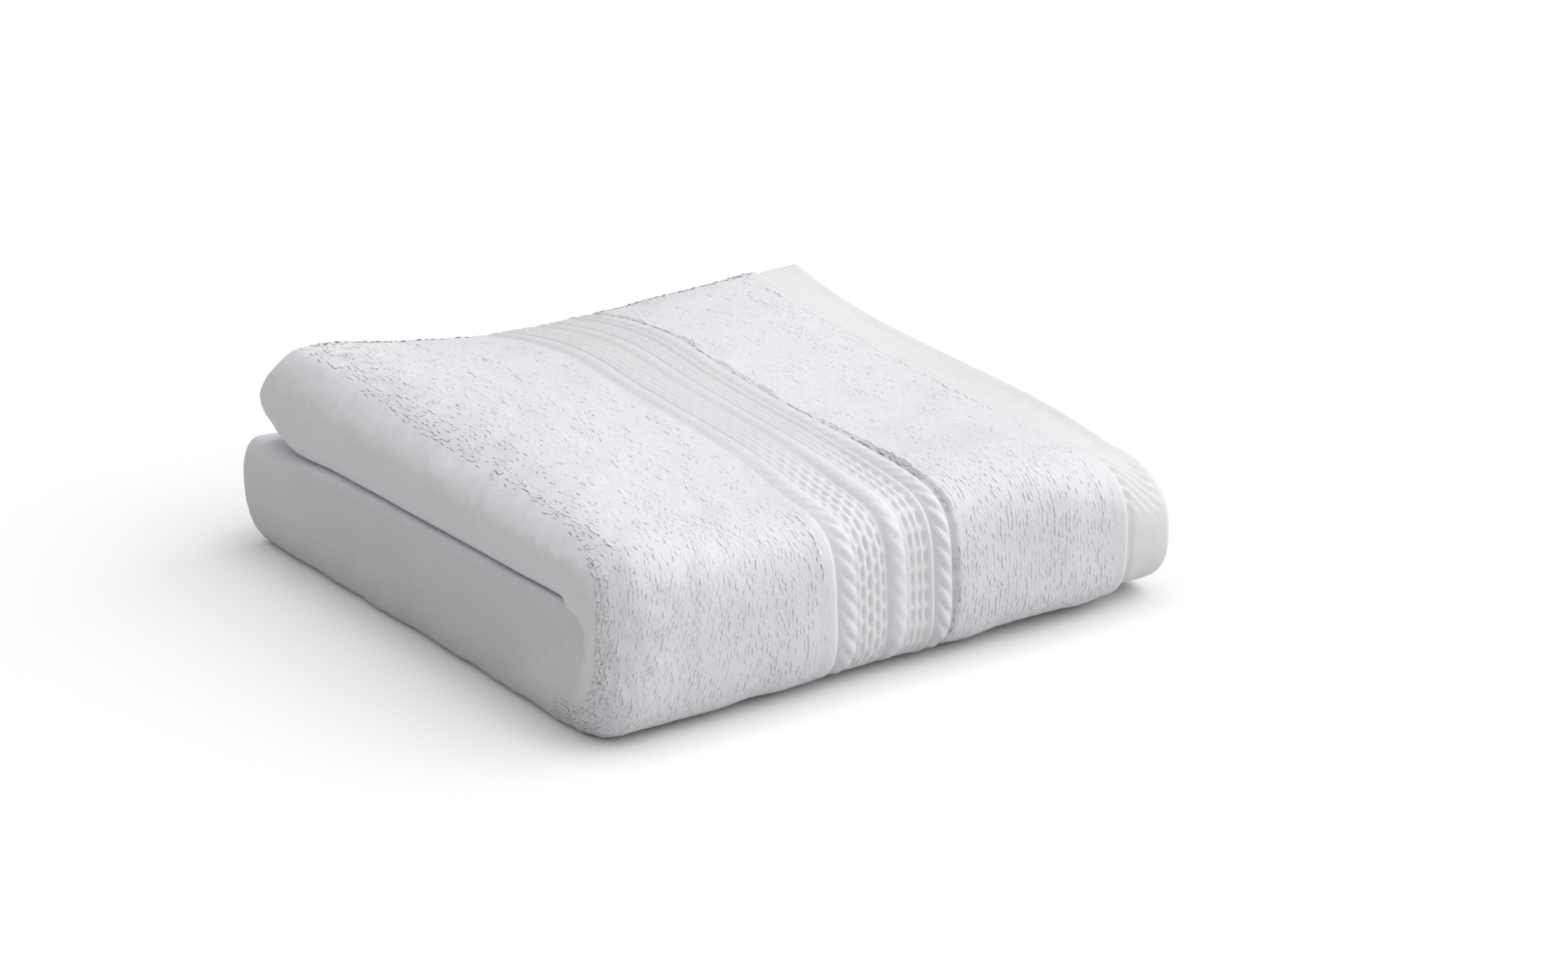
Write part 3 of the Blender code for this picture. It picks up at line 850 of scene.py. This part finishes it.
loops = {
    "yarnRadius": 0.52,
    "length": 2.0,
    "rise": 1.25,
    "endDip": 0.3,
    "arcSteps": 3,
    "ringSteps": 6,
    "start": 0.6,  # distance down the cloth of the first row
    "topEnd": 122.0,  # where the front's pieces take over
    "pastRoll": 4.0,  # how far underneath they go on
    "shoulder": -22.0,
    "clear": (1.0, 0.5, 1.3),  # gap before the border, overlap past it, gap before the hem
    "columns": 1.15,
    "shoulderColumns": 0.85,
    "rows": 1.5,
    "jitter": (0.28, 0.42),
    "thinning": (0.3, 1.0),
    "widths": (1.15, 0.9),  # on the top and on the front
    "leastHeight": 1.2,
    "tilt": 0.1,  # lean of a loop for each millimetre of its height
    "sink": ((0.26, 0.99), (0.42, 0.92)),  # pile height, share of it that stands below the cloth
    "calm": ((0.08, 7.0), (0.42, 2.5)),  # pile height, how much the cloth's own facing counts
    "placeSeed": 40,
    "turnSeed": 7,
    "values": {
        "Turn Spread": (0.0, 0.0, radians(15)),
        "Least Size": 0.75,
        "Greatest Size": 1.25,
    },
}


def makeLoopTree():
    tree, given, result = makeTree("terryLoops", (
        ("Yarn Radius", "NodeSocketFloat", loops["yarnRadius"] * mm),
        ("Loop Length", "NodeSocketFloat", loops["length"] * mm),
        ("Loop Rise", "NodeSocketFloat", loops["rise"] * mm),
        ("Sink", "NodeSocketFloat", loops["endDip"] * mm),
    ) + spreadSockets)
    nodes, links = tree.nodes, tree.links
    arc = nodes.new("GeometryNodeCurveQuadraticBezier")
    arc.inputs["Resolution"].default_value = loops["arcSteps"]

    def bend(name, alongShare, riseFrom, riseShare):
        along, rise = nodes.new("ShaderNodeMath"), nodes.new("ShaderNodeMath")
        point = nodes.new("ShaderNodeCombineXYZ")
        along.operation = rise.operation = "MULTIPLY"
        links.new(given.outputs["Loop Length"], along.inputs[0])
        along.inputs[1].default_value = alongShare
        links.new(given.outputs[riseFrom], rise.inputs[0])
        rise.inputs[1].default_value = riseShare
        links.new(along.outputs[0], point.inputs["X"])
        links.new(rise.outputs[0], point.inputs["Z"])
        links.new(point.outputs[0], arc.inputs[name])

    bend("Start", -0.5, "Sink", -1.0)
    bend("Middle", 0.1, "Loop Rise", 2.0)
    bend("End", 0.5, "Sink", -1.0)
    ring = nodes.new("GeometryNodeCurvePrimitiveCircle")
    ring.inputs["Resolution"].default_value = loops["ringSteps"]
    links.new(given.outputs["Yarn Radius"], ring.inputs["Radius"])
    tube = nodes.new("GeometryNodeCurveToMesh")
    tube.inputs["Fill Caps"].default_value = True
    links.new(arc.outputs[0], tube.inputs["Curve"])
    links.new(ring.outputs[0], tube.inputs["Profile Curve"])
    layInstances(tree, given, result, tube.outputs[0])
    return tree


def growPiece(name, tree, g, t, size, sink, tilt, calm, values):  # each loop runs down the cloth
    step = 0.05
    at = outerPoint(g, t)
    across = outerPoint(g + step, t) - outerPoint(g - step, t)
    down = outerPoint(g, t + step) - outerPoint(g, t - step)
    across /= np.linalg.norm(across, axis=1)[:, None]
    down /= np.linalg.norm(down, axis=1)[:, None]
    facing = np.cross(down, across)
    facing /= np.linalg.norm(facing, axis=1)[:, None]
    leant = facing + across * tilt[:, :1] + down * tilt[:, 1:]
    mesh = bpy.data.meshes.new(name)
    mesh.from_pydata((at - facing * sink[:, None] * mm).tolist(), [], [])
    fields = (("facing", leant), ("lay", down), ("size", size), ("calm", facing * calm[:, None]),
              ("tintAndShade", tintAndShadeAt(fold["bulge"] + g, t, at)))
    for label, rows in fields:
        field = mesh.attributes.new(label, "FLOAT_VECTOR", "POINT")
        field.data.foreach_set("vector", np.asarray(rows, np.float32).ravel())
    obj = newObject(name, mesh)
    modifier = obj.modifiers.new(name, "NODES")
    modifier.node_group = tree
    for item in tree.interface.items_tree:
        if item.item_type == "SOCKET" and item.name in values:
            modifier[item.identifier] = values[item.name]
    graph = bpy.context.evaluated_depsgraph_get()
    grown = bpy.data.meshes.new_from_object(obj.evaluated_get(graph), depsgraph=graph)
    obj.modifiers.clear()
    obj.data = grown
    grown.name = name
    print(name, len(at), "points,", sum(len(p.vertices) - 2 for p in grown.polygons), "triangles")
    return obj


def loopSize(g, t):
    height = pileHeight(fold["bulge"] + g, t)
    widest, narrowest = loops["widths"]
    spreadOut = widest + (narrowest - widest) * smoothStep(terry["topPile"], terry["frontPile"], height)
    return np.stack([np.ones_like(g), spreadOut, height / loops["rise"]], -1)


def growLoops(tree, material):
    grown = []
    before, over, hemGap = loops["clear"]
    left = (0.0, border["start"] - before - fold["bulge"])
    right = (borderEnd - over - fold["bulge"], hem["start"] - hemGap - fold["bulge"])
    start, middle, end = loops["start"], loops["topEnd"], rollEnd + loops["pastRoll"]
    areas = (  # name, places across and down, spacing of the columns
        ("loopsLeftTop", left, (start, middle), loops["columns"]),
        ("loopsLeftFront", left, (middle, end), loops["columns"]),
        ("loopsRightTop", right, (start, middle), loops["columns"]),
        ("loopsRightFront", right, (middle, end), loops["columns"]),
        ("loopsShoulder", (loops["shoulder"], 0.0), (start, end), loops["shoulderColumns"]),
    )
    for order, (name, (gFrom, gTo), (tFrom, tTo), spacing) in enumerate(areas):
        rng = np.random.default_rng(loops["placeSeed"] + order)
        columns = max(1, round((gTo - gFrom) / spacing))
        rows = max(1, round((tTo - tFrom) / loops["rows"]))
        i, j = np.meshgrid(np.arange(columns), np.arange(rows), indexing="ij")
        g = gFrom + (i + 0.5) * (gTo - gFrom) / columns
        t = tFrom + (j + 0.25 + 0.5 * (i % 2)) * (tTo - tFrom) / rows
        g = (g + rng.uniform(-1, 1, g.shape) * loops["jitter"][0]).ravel()
        t = (t + rng.uniform(-1, 1, t.shape) * loops["jitter"][1]).ravel()
        kept = outerPoint(g, t)[:, 2] > loops["leastHeight"] * mm
        least = terry["leastPile"] * rng.uniform(*loops["thinning"], g.shape)
        kept &= pileHeight(fold["bulge"] + g, t) > least
        g, t = g[kept], t[kept]
        height = pileHeight(fold["bulge"] + g, t)
        tilt = rng.uniform(-1, 1, (len(g), 2)) * loops["tilt"] * height[:, None]
        calm = np.interp(height, *zip(*loops["calm"]))
        values = dict(loops["values"], Seed=loops["turnSeed"] + order, Material=material)
        sink = height * np.interp(height, *zip(*loops["sink"]))
        grown.append(growPiece(name, tree, g, t, loopSize(g, t), sink, tilt, calm, values))
    return grown


fuzz = makeFuzzGroup()
pileCotton = makeCotton("pileCotton", fuzz, *cotton["pileFuzz"], "calm")
groundCotton = makeCotton("groundCotton", fuzz, *cotton["groundFuzz"])
sheet = buildSheet(groundCotton)
print("sheet built:", sum(len(p.vertices) - 2 for p in sheet.data.polygons), "triangles")
extras = growLoops(makeLoopTree(), pileCotton)
print("pile grown")

# Floor, light and camera

studio = {
    "ambient": 0.20,
    "contactReach": 14.0,  # the added light fades this near the cloth
    "floor": 0.68,
    "floorRoughness": 0.9,
    "floorHalf": 5.0,
    "contactSamples": 4,
    "shadowLift": 0.30,  # light added to the floor as the camera sees it
    "lamps": (  # name, strength, where it shines from, how wide it is in degrees
        ("softKey", 2.3, (0.66, -0.40, 0.64), 75.0),
        ("overhead", 1.25, (0.0, 0.0, 1.0), 120.0),
    ),
    "azimuth": -34.46,
    "elevation": 21.81,
    "distance": 1277.9,
    "target": (-0.5, -4.3, 19.4),
    "aimRight": 18.75,
    "aimUp": 3.5,
    "lens": 117.6,
    "clipEnd": 50.0,
}


def buildFloor():
    half = studio["floorHalf"]
    mesh = bpy.data.meshes.new("floor")
    corners = [(-half, -half, 0), (half, -half, 0), (half, half, 0), (-half, half, 0)]
    mesh.from_pydata(corners, [], [(0, 1, 2, 3)])
    material = bpy.data.materials.new("paleFloor")
    material.use_nodes = True
    shader = material.node_tree.nodes["Principled BSDF"]
    shader.inputs["Base Color"].default_value = (studio["floor"],) * 3 + (1,)
    shader.inputs["Roughness"].default_value = studio["floorRoughness"]
    shader.inputs["Specular IOR Level"].default_value = 0.0
    nodes, links = material.node_tree.nodes, material.node_tree.links
    path, lift = nodes.new("ShaderNodeLightPath"), nodes.new("ShaderNodeMath")
    near = nodes.new("ShaderNodeAmbientOcclusion")
    near.samples = studio["contactSamples"]
    near.inputs["Distance"].default_value = studio["contactReach"] * mm
    near.inputs["Color"].default_value = (studio["shadowLift"],) * 3 + (1,)
    lift.operation = "MULTIPLY"
    links.new(path.outputs["Is Camera Ray"], lift.inputs[0])
    links.new(near.outputs["Color"], lift.inputs[1])
    links.new(lift.outputs[0], shader.inputs["Emission Strength"])
    shader.inputs["Emission Color"].default_value = (1, 1, 1, 1)
    floor = newObject("floor", mesh, material)


def lightStudio():
    world = bpy.data.worlds.new("studio")
    world.use_nodes = True
    backdrop = world.node_tree.nodes["Background"]
    backdrop.inputs["Color"].default_value = (1, 1, 1, 1)
    backdrop.inputs["Strength"].default_value = studio["ambient"]
    bpy.context.scene.world = world
    for name, strength, shinesFrom, width in studio["lamps"]:
        lamp = bpy.data.lights.new(name, "SUN")
        lamp.energy = strength
        lamp.angle = radians(width)
        holder = bpy.data.objects.new(name, lamp)
        holder.rotation_euler = Vector(shinesFrom).to_track_quat("Z", "Y").to_euler()
        bpy.context.scene.collection.objects.link(holder)
    bpy.context.scene.view_settings.view_transform = "Standard"


def aimCamera():
    a, e = radians(studio["azimuth"]), radians(studio["elevation"])
    back = Vector((sin(a) * cos(e), -cos(a) * cos(e), sin(e)))
    right = Vector((cos(a), sin(a), 0))
    up = back.cross(right)
    target = Vector(studio["target"])
    place = target + back * studio["distance"]
    aim = target + right * studio["aimRight"] + up * studio["aimUp"]
    data = bpy.data.cameras.new("camera")
    data.lens = studio["lens"]
    data.clip_end = studio["clipEnd"]
    camera = bpy.data.objects.new("camera", data)
    camera.location = place * mm
    camera.rotation_euler = (place - aim).to_track_quat("Z", "Y").to_euler()
    bpy.context.scene.collection.objects.link(camera)
    bpy.context.scene.camera = camera


buildFloor()
lightStudio()
aimCamera()
print("studio ready")

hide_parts("washcloth")
for piece in [sheet] + extras:
    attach(piece, "root")
